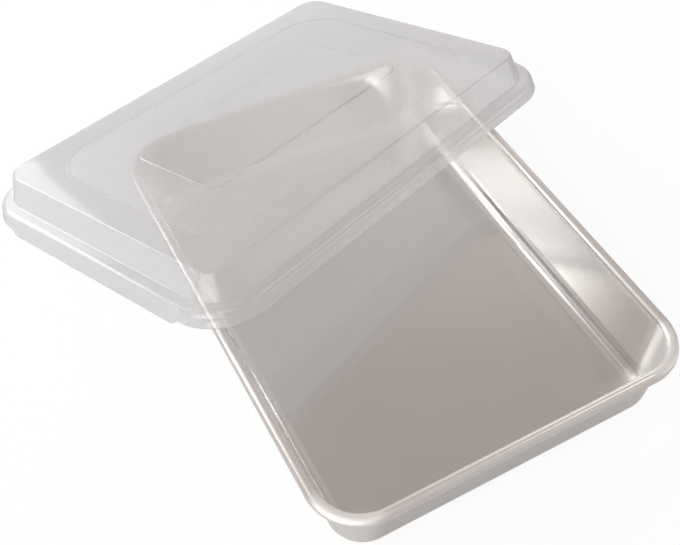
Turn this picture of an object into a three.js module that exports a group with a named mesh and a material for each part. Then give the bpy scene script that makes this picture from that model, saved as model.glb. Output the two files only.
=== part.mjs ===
// Covered baking pan: a drawn aluminium cake pan with a rolled rim stiffened by a steel wire,
// and its moulded plastic lid lying askew across the far half of the pan.
// Millimetres and degrees, +Z up. The origin is the centre of the pan's flat base, and +X runs along
// its long side.
import * as THREE from 'three';

// Pan
const RIM_LENGTH = 346;
const RIM_WIDTH = 251.8;
const PAN_HEIGHT = 57.6;
const RIM_DIAMETER = 7.8;
const RIM_CORNER_RADIUS = 34.6;
const SHEET_THICKNESS = 1.2;
const WALL_LEAN = 6.5;
const FOOT_RADIUS = 13;
const CURL_END_ANGLE = -118;

// Rim wire
const WIRE_CLEARANCE = 0.35;

// Lid, from its skirt up
const LID_THICKNESS = 1.3;
const SEAT_CLEARANCE = 0.3;
const LEAD_IN_HEIGHT = 5.4;
const LEAD_IN_FLARE = 1.7;
const LIP_DROP = 5.8;
const LIP_SHORT_RAMP = 3;
const LIP_LONG_RAMP = 12;
const LEDGE_WIDTH = 4.6;
const CROWN_HEIGHT = 18.7;
const CROWN_SETBACK = 7.6;
const CROWN_CORNER_RADIUS = 14.5;
const SHOULDER_RADIUS = 2.4;
const RECESS_LENGTH = 269.4;
const RECESS_WIDTH = 175.2;
const RECESS_CORNER_RADIUS = 32.5;
const RECESS_DEPTH = 0.5;
const PANEL_LENGTH = 186.4;
const PANEL_WIDTH = 84.6;
const PANEL_CORNER_RADIUS = 9;
const PANEL_RISE = 0.8;
const STEP_SLOPE_WIDTH = 0.8;

// Where the lid was laid down, before it settles on the pan and the table
const LID_TURN = 111.65;
const LID_FROM_REAR_RIM = 26.4;
const LID_FROM_MIDLINE = -13.2;
const REST_CLEARANCE = 0.3;

// Smoothness
const CORNER_STEPS = 8;
const FOOT_STEPS = 5;
const CURL_STEPS = 13;
const WIRE_SIDES = 12;
const CHANNEL_STEPS = 5;
const SHOULDER_STEPS = 3;
const SETTLE_ROUNDS = 12;
const RIM_SAMPLES = 60;

// Sizes that follow from the ones above
const rimRadius = RIM_DIAMETER / 2;
const rimHalfLength = RIM_LENGTH / 2 - rimRadius;
const rimHalfWidth = RIM_WIDTH / 2 - rimRadius;
const rimCentreRadius = RIM_CORNER_RADIUS - rimRadius;
const rimCentreHeight = PAN_HEIGHT - rimRadius;
const curlInnerRadius = rimRadius - SHEET_THICKNESS;
const wireRadius = curlInnerRadius - WIRE_CLEARANCE;
const skirtOverhang = SEAT_CLEARANCE + LID_THICKNESS + LEAD_IN_FLARE;
const skirtHalfLength = RIM_LENGTH / 2 + skirtOverhang;
const skirtHalfWidth = RIM_WIDTH / 2 + skirtOverhang;
const skirtCornerRadius = RIM_CORNER_RADIUS + skirtOverhang;
const channelRadius = rimRadius + SEAT_CLEARANCE + LID_THICKNESS;
const ledgeTop = LEAD_IN_HEIGHT + channelRadius;
const crownFootInset = LEAD_IN_FLARE + channelRadius + LEDGE_WIDTH;
const shoulderInset = crownFootInset + CROWN_SETBACK;
const crownTop = ledgeTop + CROWN_HEIGHT;
const recessFloor = crownTop - RECESS_DEPTH;
const panelTop = recessFloor + PANEL_RISE;

const radians = THREE.MathUtils.degToRad;

// One closed outline: a rounded rectangle at one height. With a lip drop it has two more points on
// each short side, between which it hangs lower by that much.
function outline(halfLength, halfWidth, radius, z, lipDrop = null) {
  const points = [];
  for (let corner = 0; corner < 4; corner += 1) {
    const signX = corner === 0 || corner === 3 ? 1 : -1;
    const signY = corner < 2 ? 1 : -1;
    for (let step = 0; step <= CORNER_STEPS; step += 1) {
      const angle = (corner + step / CORNER_STEPS) * (Math.PI / 2);
      const x = signX * (halfLength - radius) + radius * Math.cos(angle);
      const y = signY * (halfWidth - radius) + radius * Math.sin(angle);
      points.push(new THREE.Vector3(x, y, z));
    }
    if (lipDrop !== null && corner % 2 === 1) {
      const straight = halfWidth - radius;
      const from = -signX * (straight - LIP_SHORT_RAMP);
      const to = signX * (straight - LIP_LONG_RAMP);
      points.push(new THREE.Vector3(signX * halfLength, from, z - lipDrop));
      points.push(new THREE.Vector3(signX * halfLength, to, z - lipDrop));
    }
  }
  return points;
}

// A closed skin through outlines that run from the underside, around the outside, to the top.
// Its two ends are closed by flat caps, or joined to each other to make an endless ring.
function loft(outlines, endless = false) {
  const size = outlines[0].length;
  const positions = outlines.flat().flatMap((point) => point.toArray());
  const faces = [];
  const spans = endless ? outlines.length : outlines.length - 1;
  for (let row = 0; row < spans; row += 1) {
    const here = row * size;
    const next = ((row + 1) % outlines.length) * size;
    for (let k = 0; k < size; k += 1) {
      const k2 = (k + 1) % size;
      faces.push(here + k, here + k2, next + k2);
      faces.push(here + k, next + k2, next + k);
    }
  }
  if (!endless) {
    faces.push(...cap(0, size, false));
    faces.push(...cap((outlines.length - 1) * size, size, true));
  }
  const geometry = new THREE.BufferGeometry();
  geometry.setAttribute('position', new THREE.Float32BufferAttribute(positions, 3));
  geometry.setIndex(faces);
  geometry.computeVertexNormals();
  return geometry;
}

// A flat cap over one outline, in a strip of triangles that runs from one short side to the other.
// It starts inside the first corner, so that no triangle has its three points in one line.
function cap(first, size, facingUp) {
  const faces = [];
  const start = Math.floor(CORNER_STEPS / 4);
  const at = (k) => first + ((k + start) % size);
  const add = (a, b, c) => faces.push(...(facingUp ? [a, b, c] : [a, c, b]));
  let low = 0;
  let high = size - 1;
  while (low + 1 < high) {
    add(at(low), at(low + 1), at(high));
    if (low + 1 < high - 1) add(at(low + 1), at(high - 1), at(high));
    low += 1;
    high -= 1;
  }
  return faces;
}

// Points of an arc in a section plane, from one angle to another, in degrees.
function arc(centre, radius, from, to, steps) {
  const points = [];
  for (let step = 0; step <= steps; step += 1) {
    const angle = radians(from + ((to - from) * step) / steps);
    points.push(new THREE.Vector2(
      centre.x + radius * Math.cos(angle),
      centre.y + radius * Math.sin(angle),
    ));
  }
  return points;
}

// The pan's section: x is the distance outside the rim's centre line, y the height. The sheet runs
// along the base, up the wall and around the wire, and comes back along its other face.
function panSection() {
  const rim = new THREE.Vector2(0, rimCentreHeight);
  const lean = radians(WALL_LEAN);
  const footDrop = (rimCentreHeight - FOOT_RADIUS) * Math.sin(lean);
  const footInset = (curlInnerRadius + FOOT_RADIUS + footDrop) / Math.cos(lean);
  const foot = new THREE.Vector2(-footInset, FOOT_RADIUS);
  const curlStart = 180 - WALL_LEAN;
  return [
    ...arc(foot, FOOT_RADIUS, -90, -WALL_LEAN, FOOT_STEPS),
    ...arc(rim, curlInnerRadius, curlStart, CURL_END_ANGLE, CURL_STEPS),
    ...arc(rim, rimRadius, CURL_END_ANGLE, curlStart, CURL_STEPS),
    ...arc(foot, FOOT_RADIUS - SHEET_THICKNESS, -WALL_LEAN, -90, FOOT_STEPS),
  ];
}

function rimOutline(point) {
  return outline(rimHalfLength + point.x, rimHalfWidth + point.x, rimCentreRadius + point.x, point.y);
}

function panGeometry() {
  return loft(panSection().map(rimOutline));
}

function rimWireGeometry() {
  const centre = new THREE.Vector2(0, rimCentreHeight);
  const section = arc(centre, wireRadius, -90, 270, WIRE_SIDES).slice(0, WIRE_SIDES);
  return loft(section.map(rimOutline), true);
}

// The lid's upper face from the skirt's lower edge to the shoulder, as insets from that edge.
// A flared lead-in, a round channel that fits over the pan's rim, a ledge and the crown's wall.
function lidSideSection() {
  const crownAngle = THREE.MathUtils.radToDeg(Math.atan2(CROWN_HEIGHT, CROWN_SETBACK));
  const shoulderReach = SHOULDER_RADIUS * Math.tan(radians(crownAngle / 2));
  const channel = new THREE.Vector2(LEAD_IN_FLARE + channelRadius, LEAD_IN_HEIGHT);
  const shoulder = new THREE.Vector2(shoulderInset + shoulderReach, crownTop - SHOULDER_RADIUS);
  return {
    skirt: [
      new THREE.Vector2(0, 0),
      ...arc(channel, channelRadius, 180, 90, CHANNEL_STEPS),
      new THREE.Vector2(crownFootInset, ledgeTop),
    ],
    crown: arc(shoulder, SHOULDER_RADIUS, 90 + crownAngle, 90, SHOULDER_STEPS),
  };
}

// The same faces moved by the wall's thickness towards the inside.
function thicken({ skirt, crown }) {
  const section = [...skirt, ...crown];
  const last = section.length - 1;
  const normal = (a, b) => new THREE.Vector2(b.y - a.y, a.x - b.x).normalize();
  const moved = section.map((point, k) => {
    const before = normal(section[Math.max(k - 1, 0)], section[Math.max(k, 1)]);
    const after = normal(section[Math.min(k, last - 1)], section[Math.min(k + 1, last)]);
    const mitre = before.add(after).normalize();
    return point.clone().addScaledVector(mitre, LID_THICKNESS / mitre.dot(after));
  });
  moved[0].y = 0;
  return { skirt: moved.slice(0, skirt.length), crown: moved.slice(skirt.length) };
}

function insetOutline(point, cornerRadius, lipDrop) {
  const radius = cornerRadius - point.x;
  return outline(skirtHalfLength - point.x, skirtHalfWidth - point.x, radius, point.y, lipDrop);
}

// The outlines of one face of the lid's side. Its lowest one has the lip.
function sideOutlines({ skirt, crown }) {
  const [edge, ...rest] = skirt;
  return [
    insetOutline(edge, skirtCornerRadius, LIP_DROP),
    ...rest.map((point) => insetOutline(point, skirtCornerRadius, 0)),
    ...crown.map((point) => insetOutline(point, CROWN_CORNER_RADIUS + shoulderInset, 0)),
  ];
}

function topOutline(length, width, radius, widen, z) {
  return outline(length / 2 + widen, width / 2 + widen, radius + widen, z, 0);
}

// The sunken ring and the raised panel in it, from the outside in, at a depth below the top face.
function topOutlines(depth) {
  const recess = (widen, z) => (
    topOutline(RECESS_LENGTH, RECESS_WIDTH, RECESS_CORNER_RADIUS, widen, z - depth)
  );
  const panel = (widen, z) => (
    topOutline(PANEL_LENGTH, PANEL_WIDTH, PANEL_CORNER_RADIUS, widen, z - depth)
  );
  return [
    recess(STEP_SLOPE_WIDTH, crownTop),
    recess(0, recessFloor),
    panel(STEP_SLOPE_WIDTH, recessFloor),
    panel(0, panelTop),
  ];
}

function lidGeometry() {
  const outer = lidSideSection();
  return loft([
    ...topOutlines(LID_THICKNESS).reverse(),
    ...sideOutlines(thicken(outer)).reverse(),
    ...sideOutlines(outer),
    ...topOutlines(0),
  ]);
}

// The lid's three supports, each with its place and its height above what carries it.
// First: the lower edge of the near long skirt, over the crown of the rim's right side.
function gapOverRightRim(pose) {
  const inset = thicken(lidSideSection()).skirt[0].x;
  const middle = new THREE.Vector3(0, inset - skirtHalfWidth, 0).applyMatrix4(pose);
  const along = new THREE.Vector3(1, 0, 0).transformDirection(pose);
  middle.addScaledVector(along, (rimHalfWidth - middle.y) / along.y);
  return { x: middle.x, y: middle.y, gap: middle.z - PAN_HEIGHT };
}

// Second: the underside of the lid's top, over the crown of the rim's rear side.
function gapOverRearRim(pose) {
  const intoLid = pose.clone().invert();
  const straight = rimHalfWidth - rimCentreRadius;
  let nearest = null;
  for (let sample = 0; sample <= RIM_SAMPLES; sample += 1) {
    const y = THREE.MathUtils.lerp(-straight, straight, sample / RIM_SAMPLES);
    const local = new THREE.Vector3(-rimHalfLength, y, PAN_HEIGHT).applyMatrix4(intoLid);
    const underPanel = Math.abs(local.x) < PANEL_LENGTH / 2 && Math.abs(local.y) < PANEL_WIDTH / 2;
    const gap = (underPanel ? panelTop : recessFloor) - LID_THICKNESS - local.z;
    if (!nearest || gap < nearest.gap) nearest = { x: -rimHalfLength, y, gap };
  }
  return nearest;
}

// Third: the lowest point of the skirt's edge at its far rear corner, over the table.
function gapOverTable(pose) {
  const edge = sideOutlines(lidSideSection())[0];
  const corner = edge.filter((point) => point.x > 0 && point.y > 0);
  const placed = corner.map((point) => point.applyMatrix4(pose));
  const lowest = placed.reduce((low, point) => (point.z < low.z ? point : low));
  return { x: lowest.x, y: lowest.y, gap: lowest.z };
}

// Tilts and lowers the lid, where it was laid down, until all three gaps are the rest clearance.
function restingPose() {
  const place = new THREE.Vector3(LID_FROM_REAR_RIM - rimHalfLength, LID_FROM_MIDLINE, PAN_HEIGHT);
  const pose = new THREE.Matrix4().makeRotationZ(radians(LID_TURN)).setPosition(place);
  for (let round = 0; round < SETTLE_ROUNDS; round += 1) {
    const supports = [gapOverRightRim(pose), gapOverRearRim(pose), gapOverTable(pose)];
    const rows = supports.flatMap((support) => [1, support.x, support.y]);
    const places = new THREE.Matrix3().set(...rows);
    const falls = new THREE.Vector3(...supports.map((support) => REST_CLEARANCE - support.gap));
    const [lift, slopeX, slopeY] = falls.applyMatrix3(places.invert()).toArray();
    const axis = new THREE.Vector3(slopeY, -slopeX, 0);
    const angle = Math.atan(axis.length());
    const tilt = new THREE.Matrix4().makeRotationAxis(axis.normalize(), angle);
    place.z = place.clone().applyMatrix4(tilt).z + lift;
    pose.premultiply(tilt).setPosition(place);
  }
  return pose;
}

function piece(name, geometry, look) {
  const mesh = new THREE.Mesh(geometry, new THREE.MeshStandardMaterial(look));
  mesh.name = name;
  return mesh;
}

const aluminium = { color: 0xc3bfba, roughness: 0.36, metalness: 1 };
const galvanisedSteel = { color: 0xa9abad, roughness: 0.5, metalness: 1 };
const clearPlastic = { color: 0xe4e5e4, roughness: 0.3, metalness: 0, transparent: true, opacity: 0.45 };

const bakingPan = new THREE.Group();
bakingPan.add(piece('pan', panGeometry(), aluminium));
bakingPan.add(piece('rim_wire', rimWireGeometry(), galvanisedSteel));

const lid = piece('lid', lidGeometry(), clearPlastic);
lid.applyMatrix4(restingPose());
bakingPan.add(lid);

export default bakingPan;
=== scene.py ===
import math

import bpy
from mathutils import Euler, Matrix, Vector


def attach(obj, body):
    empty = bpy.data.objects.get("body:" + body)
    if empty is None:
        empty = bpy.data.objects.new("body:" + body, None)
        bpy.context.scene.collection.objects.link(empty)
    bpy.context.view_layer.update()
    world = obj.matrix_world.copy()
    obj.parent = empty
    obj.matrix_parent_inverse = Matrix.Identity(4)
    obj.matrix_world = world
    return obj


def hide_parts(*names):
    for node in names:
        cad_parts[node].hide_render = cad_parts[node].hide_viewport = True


# Covered baking pan: satin aluminium cake pan and its hazy plastic lid, lying askew across it.
# The frame is in metres, and the sizes below are in millimetres and degrees.
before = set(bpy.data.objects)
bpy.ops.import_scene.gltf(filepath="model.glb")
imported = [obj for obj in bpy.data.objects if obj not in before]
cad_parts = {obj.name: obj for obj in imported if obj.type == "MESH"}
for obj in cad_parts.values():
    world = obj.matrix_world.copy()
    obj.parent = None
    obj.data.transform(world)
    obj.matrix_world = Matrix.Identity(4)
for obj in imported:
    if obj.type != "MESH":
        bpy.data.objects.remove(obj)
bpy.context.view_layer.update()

MM = 0.001

# Pan
RIM_LENGTH = 346
RIM_WIDTH = 251.8
PAN_HEIGHT = 57.6
RIM_DIAMETER = 7.8
RIM_CORNER_RADIUS = 34.6
SHEET_THICKNESS = 1.2
WALL_LEAN = 6.5
FOOT_RADIUS = 13
CURL_END_ANGLE = -118

# Lid, from its skirt up
LID_THICKNESS = 1.3
SEAT_CLEARANCE = 0.3
LEAD_IN_HEIGHT = 5.4
LEAD_IN_FLARE = 1.7
LIP_DROP = 5.8
LIP_SHORT_RAMP = 3
LIP_LONG_RAMP = 12
LEDGE_WIDTH = 4.6
CROWN_HEIGHT = 18.7
CROWN_SETBACK = 7.6
CROWN_CORNER_RADIUS = 14.5
SHOULDER_RADIUS = 2.4
CROWN_FOOT_RADIUS = 1.6
RECESS_LENGTH = 269.4
RECESS_WIDTH = 175.2
RECESS_CORNER_RADIUS = 32.5
RECESS_DEPTH = 0.5
PANEL_LENGTH = 186.4
PANEL_WIDTH = 84.6
PANEL_CORNER_RADIUS = 9
PANEL_RISE = 0.8
STEP_SLOPE_WIDTH = 0.8
STEP_ROUNDED_WIDTH = 1.6

# Smoothness
CORNER_STEPS = 24
SIDE_STEPS = 6
LIP_STEPS = 64
FOOT_STEPS = 14
CURL_STEPS = 40
CHANNEL_STEPS = 12
BEND_STEPS = 6
EDGE_STEPS = 8
SUPPORT = 0.25

# Sizes that follow from the ones above
rim_radius = RIM_DIAMETER / 2
rim_half_length = RIM_LENGTH / 2 - rim_radius
rim_half_width = RIM_WIDTH / 2 - rim_radius
rim_centre_radius = RIM_CORNER_RADIUS - rim_radius
rim_centre_height = PAN_HEIGHT - rim_radius
skirt_overhang = SEAT_CLEARANCE + LID_THICKNESS + LEAD_IN_FLARE
skirt_half_length = RIM_LENGTH / 2 + skirt_overhang
skirt_half_width = RIM_WIDTH / 2 + skirt_overhang
skirt_corner_radius = RIM_CORNER_RADIUS + skirt_overhang
channel_radius = rim_radius + SEAT_CLEARANCE + LID_THICKNESS
ledge_top = LEAD_IN_HEIGHT + channel_radius
crown_foot_inset = LEAD_IN_FLARE + channel_radius + LEDGE_WIDTH
shoulder_inset = crown_foot_inset + CROWN_SETBACK
crown_top = ledge_top + CROWN_HEIGHT
recess_floor = crown_top - RECESS_DEPTH
panel_top = recess_floor + PANEL_RISE


def smooth_step(t):
    t = min(max(t, 0), 1)
    return t * t * (3 - 2 * t)


# How far the skirt's edge hangs down at a place along a short side
def lip_depth(side, across):
    straight = skirt_half_width - skirt_corner_radius
    place = across * side
    from_long_end = smooth_step((straight - place) / LIP_LONG_RAMP)
    from_short_end = smooth_step((straight + place) / LIP_SHORT_RAMP)
    return LIP_DROP * min(from_long_end, from_short_end)


# One closed outline: a rounded rectangle at one height, with its points crowded towards the corners.
# On its short sides it hangs lower by a share of the lip's depth.
def outline(half_length, half_width, radius, z, lip_share=0):
    points = []
    for corner in range(4):
        sign_x = 1 if corner in (0, 3) else -1
        sign_y = 1 if corner < 2 else -1
        for step in range(CORNER_STEPS + 1):
            angle = (corner + step / CORNER_STEPS) * math.pi / 2
            x = sign_x * (half_length - radius) + radius * math.cos(angle)
            y = sign_y * (half_width - radius) + radius * math.sin(angle)
            points.append(Vector((x, y, z)))
        last = points[-1]
        if corner % 2 == 0:
            steps, end = SIDE_STEPS, Vector((-last.x, last.y, z))
        else:
            steps, end = LIP_STEPS, Vector((last.x, -last.y, z))
        for step in range(1, steps):
            crowded = (1 - math.cos(math.pi * step / steps)) / 2
            points.append(last.lerp(end, crowded))
    if lip_share:
        for point in points:
            if abs(point.x) > half_length - SUPPORT:
                point.z -= lip_share * lip_depth(math.copysign(1, point.x), point.y)
    return points


def arc(centre, radius, start, end, steps):
    angles = [math.radians(start + (end - start) * k / steps) for k in range(steps + 1)]
    return [(centre[0] + radius * math.cos(a), centre[1] + radius * math.sin(a)) for a in angles]


# A closed mesh through outlines that run from the underside, around the outside, to the top.
# Each outline has the number of the material on the faces that follow it.
def loft(name, outlines, numbers, materials):
    size = len(outlines[0])
    points = [point * MM for line in outlines for point in line]
    faces = [tuple(reversed(range(size)))]
    face_numbers = [numbers[0]]
    for row in range(len(outlines) - 1):
        for k in range(size):
            k2 = (k + 1) % size
            here, above = row * size, (row + 1) * size
            faces.append((here + k, here + k2, above + k2, above + k))
            face_numbers.append(numbers[row])
    top = (len(outlines) - 1) * size
    faces.append(tuple(range(top, top + size)))
    face_numbers.append(numbers[-1])
    mesh = bpy.data.meshes.new(name)
    mesh.from_pydata(points, [], faces)
    for material in materials:
        mesh.materials.append(material)
    mesh.polygons.foreach_set("material_index", face_numbers)
    mesh.polygons.foreach_set("use_smooth", [True] * len(faces))
    mesh.update()
    piece = bpy.data.objects.new(name, mesh)
    bpy.context.collection.objects.link(piece)
    return piece


# The pan's section: the distance outside the rim's centre line, and the height. The sheet runs along
# the base, up the wall and around the rim's wire, and comes back along its other face.
def pan_section():
    rim = (0, rim_centre_height)
    curl_inside = rim_radius - SHEET_THICKNESS
    lean = math.radians(WALL_LEAN)
    foot_drop = (rim_centre_height - FOOT_RADIUS) * math.sin(lean)
    foot = (-(curl_inside + FOOT_RADIUS + foot_drop) / math.cos(lean), FOOT_RADIUS)
    curl_start = 180 - WALL_LEAN
    half_sheet = SHEET_THICKNESS / 2
    middle = rim_radius - half_sheet
    end = math.radians(CURL_END_ANGLE)
    hem = (middle * math.cos(end), rim_centre_height + middle * math.sin(end))
    base_inset = foot[0] - SUPPORT
    floor_height = SHEET_THICKNESS
    return [
        (base_inset, 0),
        *arc(foot, FOOT_RADIUS, -90, -WALL_LEAN, FOOT_STEPS),
        *arc(rim, curl_inside, curl_start, CURL_END_ANGLE, CURL_STEPS),
        *arc(hem, half_sheet, CURL_END_ANGLE + 180, CURL_END_ANGLE + 360, BEND_STEPS)[1:-1],
        *arc(rim, rim_radius, CURL_END_ANGLE, curl_start, CURL_STEPS),
        *arc(foot, FOOT_RADIUS - SHEET_THICKNESS, -WALL_LEAN, -90, FOOT_STEPS),
        (base_inset, floor_height),
    ]


def make_pan(metal):
    lines = []
    for x, z in pan_section():
        lines.append(outline(rim_half_length + x, rim_half_width + x, rim_centre_radius + x, z))
    return loft("pan_body", lines, [0] * len(lines), [metal])


# The round lower edge of the lid's skirt, from the inner face to the outer one
flare_slope = Vector((LEAD_IN_FLARE, LEAD_IN_HEIGHT)).normalized()
edge_radius = LID_THICKNESS / 2
edge_start = edge_radius * (1 + flare_slope.x) / flare_slope.y
edge_centre = (
    flare_slope.x * edge_start + flare_slope.y * edge_radius,
    flare_slope.y * edge_start - flare_slope.x * edge_radius,
)


def lid_edge_section():
    angle = math.degrees(math.atan2(flare_slope.y, flare_slope.x))
    return {"flare": arc(edge_centre, edge_radius, angle + 270, angle + 90, EDGE_STEPS)[1:-1]}


# The lid's upper face from the skirt's lower edge to the shoulder, as insets from that edge and heights
def lid_side_section():
    crown_angle = math.degrees(math.atan2(CROWN_HEIGHT, CROWN_SETBACK))
    shoulder_reach = SHOULDER_RADIUS * math.tan(math.radians(crown_angle / 2))
    foot_reach = CROWN_FOOT_RADIUS * math.tan(math.radians(crown_angle / 2))
    channel = (LEAD_IN_FLARE + channel_radius, LEAD_IN_HEIGHT)
    crown_foot = (crown_foot_inset - foot_reach, ledge_top + CROWN_FOOT_RADIUS)
    shoulder = (shoulder_inset + shoulder_reach, crown_top - SHOULDER_RADIUS)
    flare_length = math.hypot(LEAD_IN_FLARE, LEAD_IN_HEIGHT)
    flare = []
    for k in range(BEND_STEPS):
        along = edge_start + (flare_length - edge_start) * k / BEND_STEPS
        flare.append(tuple(flare_slope * along))
    return {
        "flare": flare,
        "channel": arc(channel, channel_radius, 180, 90, CHANNEL_STEPS),
        "foot": arc(crown_foot, CROWN_FOOT_RADIUS, -90, crown_angle - 90, BEND_STEPS),
        "crown": arc(shoulder, SHOULDER_RADIUS, 90 + crown_angle, 90, BEND_STEPS),
    }


# The same points moved by the wall's thickness towards the inside.
def thicken(section):
    points = [point for part in section.values() for point in part]
    moved = []
    for k, (x, z) in enumerate(points):
        before, after = points[max(k - 1, 0)], points[min(k + 1, len(points) - 1)]
        run = Vector((after[0] - before[0], after[1] - before[1])).normalized()
        moved.append((x + LID_THICKNESS * run.y, z - LID_THICKNESS * run.x))
    parts = {}
    for name, part in section.items():
        parts[name] = moved[:len(part)]
        moved = moved[len(part):]
    return parts


def side_outlines(section):
    lines = []
    for name, part in section.items():
        corner = CROWN_CORNER_RADIUS + shoulder_inset if name == "crown" else skirt_corner_radius
        for x, z in part:
            share = max(0, 1 - z / LEAD_IN_HEIGHT) if name == "flare" else 0
            lines.append(outline(skirt_half_length - x, skirt_half_width - x, corner - x, z, share))
    return lines


# The sunken ring and the raised panel in it, from the outside in, at a depth below the top face.
# Each step is rounded at its top and at its foot.
def top_outlines(depth):
    shares = [k / BEND_STEPS for k in range(BEND_STEPS + 1)]

    def step(length, width, radius, start, end):
        reach = STEP_ROUNDED_WIDTH
        centre = STEP_SLOPE_WIDTH / 2
        for t in (-SUPPORT, *shares, 1 + SUPPORT):
            widen = centre + reach * (0.5 - t)
            z = start + (end - start) * smooth_step(t)
            yield outline(length / 2 + widen, width / 2 + widen, radius + widen, z - depth)

    return [
        *step(RECESS_LENGTH, RECESS_WIDTH, RECESS_CORNER_RADIUS, crown_top, recess_floor),
        *step(PANEL_LENGTH, PANEL_WIDTH, PANEL_CORNER_RADIUS, recess_floor, panel_top),
    ]


# The lid's own axes at rest, read from its solid: up from its largest flat face, and along from the
# wall of a long side.
def lid_axes():
    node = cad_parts["lid"]
    faces = node.data.polygons
    up = max(faces, key=lambda face: face.area).normal.copy()
    if up.z < 0:
        up.negate()
    walls = [face for face in faces if abs(face.normal.dot(up)) < 0.5]
    wall = max(walls, key=lambda face: face.area).normal
    along = wall.cross(up).normalized()
    across = up.cross(along)
    places = [vertex.co for vertex in node.data.vertices]

    def span(axis):
        steps = [place.dot(axis) for place in places]
        return min(steps), max(steps)

    centre = along * (sum(span(along)) / 2) + across * (sum(span(across)) / 2)
    origin = centre + up * (span(up)[0] + LIP_DROP * MM)
    axes = Matrix((along, across, up)).transposed().to_4x4()
    return Matrix.Translation(origin) @ axes


CLEAR, FROSTED = 0, 1


def make_lid(clear, frosted):
    outer = lid_side_section()
    inner_side = side_outlines(thicken(outer))[::-1]
    outer_side = side_outlines(lid_edge_section()) + side_outlines(outer)
    inner_top = top_outlines(LID_THICKNESS)[::-1]
    outer_top = top_outlines(0)
    to_ring = len(outer_top) // 2 - 1
    ring = [CLEAR] * to_ring + [FROSTED] + [CLEAR] * (len(outer_top) - to_ring - 1)
    numbers = [CLEAR] * (len(inner_top) + len(inner_side) + len(outer_side)) + ring
    lines = inner_top + inner_side + outer_side + outer_top
    piece = loft("lid_shell", lines, numbers, [clear, frosted])
    piece.data.transform(lid_axes())
    return piece


# Materials, and the sockets of a colour mix
MIX_FIRST, MIX_SECOND, MIX_RESULT = 6, 7, 2


class Nodes:
    def __init__(self, name):
        self.material = bpy.data.materials.new(name)
        self.material.use_nodes = True
        self.tree = self.material.node_tree
        self.shader = self.tree.nodes["Principled BSDF"]
        self.output = self.tree.nodes["Material Output"]

    def add(self, kind, values=None, **settings):
        return add_node(self.tree, kind, values, **settings)

    def link(self, source, target):
        self.tree.links.new(source, target)

    def noise(self, place, scale, detail):
        node = self.add("ShaderNodeTexNoise", {"Scale": scale, "Detail": detail})
        self.link(place, node.inputs["Vector"])
        return node.outputs["Fac"]

    def tint(self, source, first, second):
        node = self.add("ShaderNodeMix", data_type="RGBA")
        node.inputs[MIX_FIRST].default_value = first
        node.inputs[MIX_SECOND].default_value = second
        self.link(source, node.inputs["Factor"])
        return node.outputs[MIX_RESULT]

    def bump(self, source, strength, distance):
        node = self.add("ShaderNodeBump", {"Strength": strength, "Distance": distance})
        self.link(source, node.inputs["Height"])
        return node.outputs["Normal"]

    def ramp(self, source, span, start, end):
        limits = {"From Min": span[0], "From Max": span[1], "To Min": start, "To Max": end}
        node = self.add("ShaderNodeMapRange", limits)
        self.link(source, node.inputs["Value"])
        return node.outputs["Result"]

    def join(self, operation, *sources):
        node = self.add("ShaderNodeMath", operation=operation)
        for socket, source in zip(node.inputs, sources):
            self.link(source, socket)
        return node.outputs["Value"]


def add_node(tree, kind, values=None, **settings):
    node = tree.nodes.new(kind)
    for key, value in settings.items():
        setattr(node, key, value)
    for key, value in (values or {}).items():
        node.inputs[key].default_value = value
    return node


# Satin aluminium with the fine lines of rolling. The drawn walls are a little smoother than the floor,
# and the rolled rim and the walls' corners are duller. Each zone is a range over which a change grows,
# in metres or in the upward part of the surface's direction.
ALUMINIUM_DARK = (0.84, 0.83, 0.815, 1)
ALUMINIUM_PALE = (0.89, 0.88, 0.865, 1)
ROLLING_LINES = (30, 2200, 2200)
LINE_ROUGHNESS = 0.03
LINE_BUMP_STRENGTH = 0.03
LINE_BUMP_DISTANCE = 0.00005
WALL_ROUGHNESS = 0.11
BASE_ROUGHNESS = 0.17
LEVEL_ZONE = (0.5, 0.98)
RIM_DULLNESS = 0.16
RIM_ZONE = (0.0495, 0.0535)
CORNER_DULLNESS = 0.42
CORNER_ZONE_X = (0.131, 0.149)
CORNER_ZONE_Y = (0.082, 0.1)
FULL_RANGE = (0, 1)


def aluminium():
    look = Nodes("satin_aluminium")
    shader = look.shader
    shader.inputs["Metallic"].default_value = 1
    place = look.add("ShaderNodeTexCoord").outputs["Object"]
    colour = look.tint(look.noise(place, 14, 3), ALUMINIUM_DARK, ALUMINIUM_PALE)
    look.link(colour, shader.inputs["Base Color"])
    stretch = look.add("ShaderNodeMapping", {"Scale": ROLLING_LINES})
    look.link(place, stretch.inputs["Vector"])
    rolled = look.noise(stretch.outputs["Vector"], 1, 2)
    facing = look.add("ShaderNodeSeparateXYZ")
    look.link(look.add("ShaderNodeNewGeometry").outputs["Normal"], facing.inputs["Vector"])
    spot = look.add("ShaderNodeSeparateXYZ")
    look.link(place, spot.inputs["Vector"])
    drawn = look.ramp(facing.outputs["Z"], LEVEL_ZONE, WALL_ROUGHNESS, BASE_ROUGHNESS)
    streak = look.ramp(rolled, FULL_RANGE, -LINE_ROUGHNESS, LINE_ROUGHNESS)
    rim = look.ramp(spot.outputs["Z"], RIM_ZONE, 0, RIM_DULLNESS)
    end = look.ramp(look.join("ABSOLUTE", spot.outputs["X"]), CORNER_ZONE_X, 0, 1)
    side = look.ramp(look.join("ABSOLUTE", spot.outputs["Y"]), CORNER_ZONE_Y, 0, CORNER_DULLNESS)
    dullness = look.join("MAXIMUM", rim, look.join("MULTIPLY", end, side))
    roughness = look.join("ADD", look.join("ADD", drawn, streak), dullness)
    look.link(roughness, shader.inputs["Roughness"])
    lines = look.bump(rolled, LINE_BUMP_STRENGTH, LINE_BUMP_DISTANCE)
    look.link(lines, shader.inputs["Normal"])
    return look.material


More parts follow.
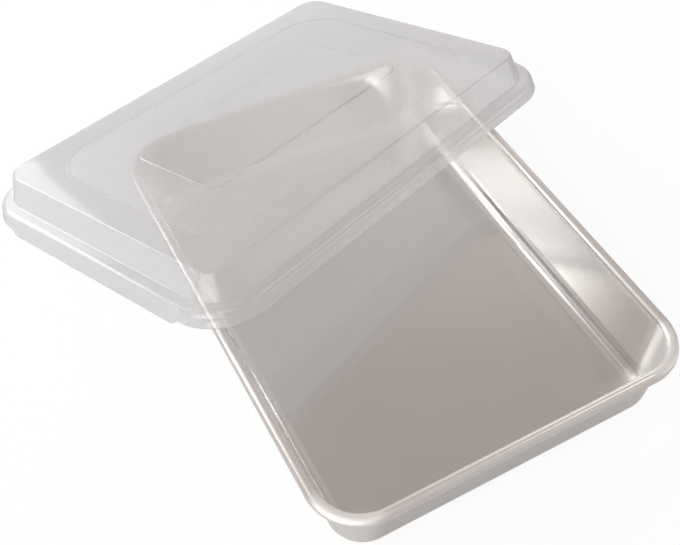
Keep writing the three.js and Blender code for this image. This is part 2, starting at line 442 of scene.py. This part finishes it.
WIRE_DARK = (0.52, 0.53, 0.54, 1)
WIRE_PALE = (0.66, 0.67, 0.68, 1)
WIRE_ROUGHNESS = 0.5
SPANGLE_SCALE = 900


def steel_wire():
    look = Nodes("galvanised_wire")
    look.shader.inputs["Metallic"].default_value = 1
    look.shader.inputs["Roughness"].default_value = WIRE_ROUGHNESS
    place = look.add("ShaderNodeTexCoord").outputs["Object"]
    spangle = look.add("ShaderNodeTexVoronoi", {"Scale": SPANGLE_SCALE})
    look.link(place, spangle.inputs["Vector"])
    colour = look.tint(spangle.outputs["Distance"], WIRE_DARK, WIRE_PALE)
    look.link(colour, look.shader.inputs["Base Color"])
    return look.material


# Hazy plastic: a thin gloss over a pale veil over what is behind it. Both grow at a flat angle.
GLOSS_HEAD_ON = 0.045
GLOSS_POWER = 5
VEIL_POWER = 1.5
VEIL_DARK = (0.91, 0.93, 0.95, 1)
VEIL_PALE = (0.95, 0.97, 0.99, 1)
CLEAR_COLOUR = (0.98, 0.98, 0.98, 1)
GRAIN_BUMP_STRENGTH = 0.1
GRAIN_BUMP_DISTANCE = 0.00003


def plastic(name, veil, slant_veil, grain_scale, grain_share, roughness):
    look = Nodes(name)
    look.tree.nodes.remove(look.shader)
    place = look.add("ShaderNodeTexCoord").outputs["Object"]
    colour = look.tint(look.noise(place, 9, 2), VEIL_DARK, VEIL_PALE)
    grain = look.noise(place, grain_scale, 2)
    normal = look.bump(grain, GRAIN_BUMP_STRENGTH, GRAIN_BUMP_DISTANCE)
    front = look.add("ShaderNodeBsdfDiffuse")
    back = look.add("ShaderNodeBsdfTranslucent")
    gloss = look.add("ShaderNodeBsdfGlossy", {"Roughness": roughness})
    for shader in (front, back):
        look.link(colour, shader.inputs["Color"])
    for shader in (front, back, gloss):
        look.link(normal, shader.inputs["Normal"])
    through = look.add("ShaderNodeBsdfTransparent", {"Color": CLEAR_COLOUR})
    slant = look.add("ShaderNodeLayerWeight", {"Blend": 0.5}).outputs["Facing"]

    def rise(power, low, high):
        curve = look.add("ShaderNodeMath", {1: power}, operation="POWER")
        look.link(slant, curve.inputs[0])
        return look.ramp(curve.outputs["Value"], FULL_RANGE, low, high)

    def mix(share, first, second):
        node = look.add("ShaderNodeMixShader", {"Fac": 0.5})
        if share:
            look.link(share, node.inputs["Fac"])
        look.link(first, node.inputs[1])
        look.link(second, node.inputs[2])
        return node.outputs["Shader"]

    speck = look.ramp(grain, FULL_RANGE, -grain_share, grain_share)
    haze = look.add("ShaderNodeMath", operation="ADD", use_clamp=True)
    look.link(rise(VEIL_POWER, veil, slant_veil), haze.inputs[0])
    look.link(speck, haze.inputs[1])
    veil_shader = mix(None, front.outputs["BSDF"], back.outputs["BSDF"])
    body = mix(haze.outputs["Value"], through.outputs["BSDF"], veil_shader)
    shown = mix(rise(GLOSS_POWER, GLOSS_HEAD_ON, 1), body, gloss.outputs["BSDF"])
    look.link(shown, look.output.inputs["Surface"])
    return look.material


# The floor is pale. Seen straight from the camera it is lifted to white and keeps a faint shadow.
# Seen through the lid it is lifted less.
FLOOR_COLOUR = (0.64, 0.64, 0.64, 1)
FLOOR_ROUGHNESS = 0.9
FLOOR_GLOW = 1.1
FLOOR_WHITE = 0.8
FLOOR_WHITE_THROUGH_LID = 0.2


def floor_material():
    look = Nodes("pale_floor")
    look.shader.inputs["Base Color"].default_value = FLOOR_COLOUR
    look.shader.inputs["Roughness"].default_value = FLOOR_ROUGHNESS
    path = look.add("ShaderNodeLightPath")
    layers = path.outputs["Transparent Depth"]
    lift = look.ramp(layers, FULL_RANGE, FLOOR_WHITE, FLOOR_WHITE_THROUGH_LID)
    share = look.join("MULTIPLY", path.outputs["Is Camera Ray"], lift)
    glow = look.add("ShaderNodeEmission", {"Color": (1, 1, 1, 1), "Strength": FLOOR_GLOW})
    both = look.add("ShaderNodeMixShader")
    look.link(share, both.inputs["Fac"])
    look.link(look.shader.outputs["BSDF"], both.inputs[1])
    look.link(glow.outputs["Emission"], both.inputs[2])
    look.link(both.outputs["Shader"], look.output.inputs["Surface"])
    return look.material


# Stage
FLOOR_SIZE = 6.0
FLOOR_GAP = 0.0003


def make_floor():
    half = FLOOR_SIZE / 2
    corners = []
    for x, y in ((-half, -half), (half, -half), (half, half), (-half, half)):
        corners.append((x, y, -FLOOR_GAP))
    mesh = bpy.data.meshes.new("floor")
    mesh.from_pydata(corners, [], [(0, 1, 2, 3)])
    mesh.materials.append(floor_material())
    floor = bpy.data.objects.new("floor", mesh)
    bpy.context.collection.objects.link(floor)


# Panel lights on the far left: a low wide window with a dimmer side, a smaller one above it and a strip.
# Each has its azimuth, elevation, size and brightness.
PANEL_DISTANCE = 1.6
PANEL_LIGHTS = (
    ("window", 217, 18.5, (0.8, 0.54), 5.0),
    ("window_side", 194, 15, (0.4, 0.5), 2.5),
    ("upper", 219, 46, (0.28, 0.26), 2.0),
    ("strip", 237.5, 20, (0.14, 0.5), 1.6),
)

# The room: warm grey, with soft lights given by azimuth, elevation, inner and outer angle, and strength
ROOM_COLOUR = (0.405, 0.36, 0.34, 1)
SOFT_LIGHTS = (
    (150, 6, 10, 32, 0.7),
    (150, 28, 8, 30, 0.2),
    (192, 46, 8, 24, 0.2),
    (227, 36, 5, 7.2, 1.75),
    (233, 37.5, 2, 7, 0.35),
    (300, 14, 12, 38, 2.8),
    (300, 68, 8, 26, 1.3),
    (96, 57, 6, 12, 2.0),
    (30, 35, 10, 40, 0.2),
    (64, 10, 8, 20, 1.4),
)


def towards(azimuth, elevation):
    turn = Euler((0, -math.radians(elevation), math.radians(azimuth)))
    return turn.to_matrix() @ Vector((1, 0, 0))


def make_panel_lights():
    for name, azimuth, elevation, size, brightness in PANEL_LIGHTS:
        data = bpy.data.lights.new(name, "AREA")
        data.shape = "RECTANGLE"
        data.size, data.size_y = size
        data.energy = brightness * math.pi * size[0] * size[1]
        lamp = bpy.data.objects.new(name, data)
        direction = towards(azimuth, elevation)
        lamp.location = direction * PANEL_DISTANCE
        lamp.rotation_euler = direction.to_track_quat("Z", "Y").to_euler()
        lamp.visible_camera = False
        bpy.context.collection.objects.link(lamp)


def make_world():
    world = bpy.data.worlds.new("studio")
    world.use_nodes = True
    bpy.context.scene.world = world
    tree = world.node_tree
    background = tree.nodes["Background"]
    direction = add_node(tree, "ShaderNodeTexCoord").outputs["Generated"]
    colour = None
    for azimuth, elevation, inner, outer, strength in SOFT_LIGHTS:
        facing = add_node(tree, "ShaderNodeVectorMath", operation="DOT_PRODUCT")
        tree.links.new(direction, facing.inputs[0])
        facing.inputs[1].default_value = towards(azimuth, elevation)
        lobe = add_node(tree, "ShaderNodeMapRange", interpolation_type="SMOOTHSTEP")
        lobe.inputs["From Min"].default_value = math.cos(math.radians(outer))
        lobe.inputs["From Max"].default_value = math.cos(math.radians(inner))
        tree.links.new(facing.outputs["Value"], lobe.inputs["Value"])
        add = add_node(tree, "ShaderNodeMix", data_type="RGBA", blend_type="ADD", clamp_result=False)
        add.inputs[MIX_SECOND].default_value = (strength, strength, strength, 1)
        if colour is None:
            add.inputs[MIX_FIRST].default_value = ROOM_COLOUR
        else:
            tree.links.new(colour, add.inputs[MIX_FIRST])
        tree.links.new(lobe.outputs["Result"], add.inputs["Factor"])
        colour = add.outputs[MIX_RESULT]
    path = add_node(tree, "ShaderNodeLightPath")
    seen = add_node(tree, "ShaderNodeMix", data_type="RGBA")
    seen.inputs[MIX_SECOND].default_value = (1, 1, 1, 1)
    tree.links.new(path.outputs["Is Camera Ray"], seen.inputs["Factor"])
    tree.links.new(colour, seen.inputs[MIX_FIRST])
    tree.links.new(seen.outputs[MIX_RESULT], background.inputs["Color"])


# The camera stands at the photograph's viewpoint
CAMERA_PLACE = (0.37686, -0.20007, 0.53417)
CAMERA_TURN = (38.018, -1.199, 59.964)
CAMERA_LENS = 51.113
SENSOR_WIDTH = 36
CAMERA_SHIFT = (-0.1238, 0.0532)


def make_camera():
    data = bpy.data.cameras.new("camera")
    data.sensor_width = SENSOR_WIDTH
    data.lens = CAMERA_LENS
    data.shift_x, data.shift_y = CAMERA_SHIFT
    camera = bpy.data.objects.new("camera", data)
    camera.location = CAMERA_PLACE
    camera.rotation_euler = Euler([math.radians(angle) for angle in CAMERA_TURN])
    bpy.context.collection.objects.link(camera)
    bpy.context.scene.camera = camera


metal = aluminium()
pan = make_pan(metal)
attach(pan, "pan")
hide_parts("pan")

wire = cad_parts["rim_wire"]
wire.data.materials.clear()
wire.data.materials.append(steel_wire())

clear_plastic = plastic(
    "hazy_plastic", veil=0.2, slant_veil=0.62, grain_scale=60, grain_share=0.01, roughness=0.1
)
frosted_plastic = plastic(
    "frosted_plastic", veil=0.38, slant_veil=0.72, grain_scale=900, grain_share=0.08, roughness=0.35
)
lid = make_lid(clear_plastic, frosted_plastic)
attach(lid, "lid")
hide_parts("lid")

make_floor()
make_panel_lights()
make_world()
make_camera()
bpy.context.scene.view_settings.view_transform = "Standard"
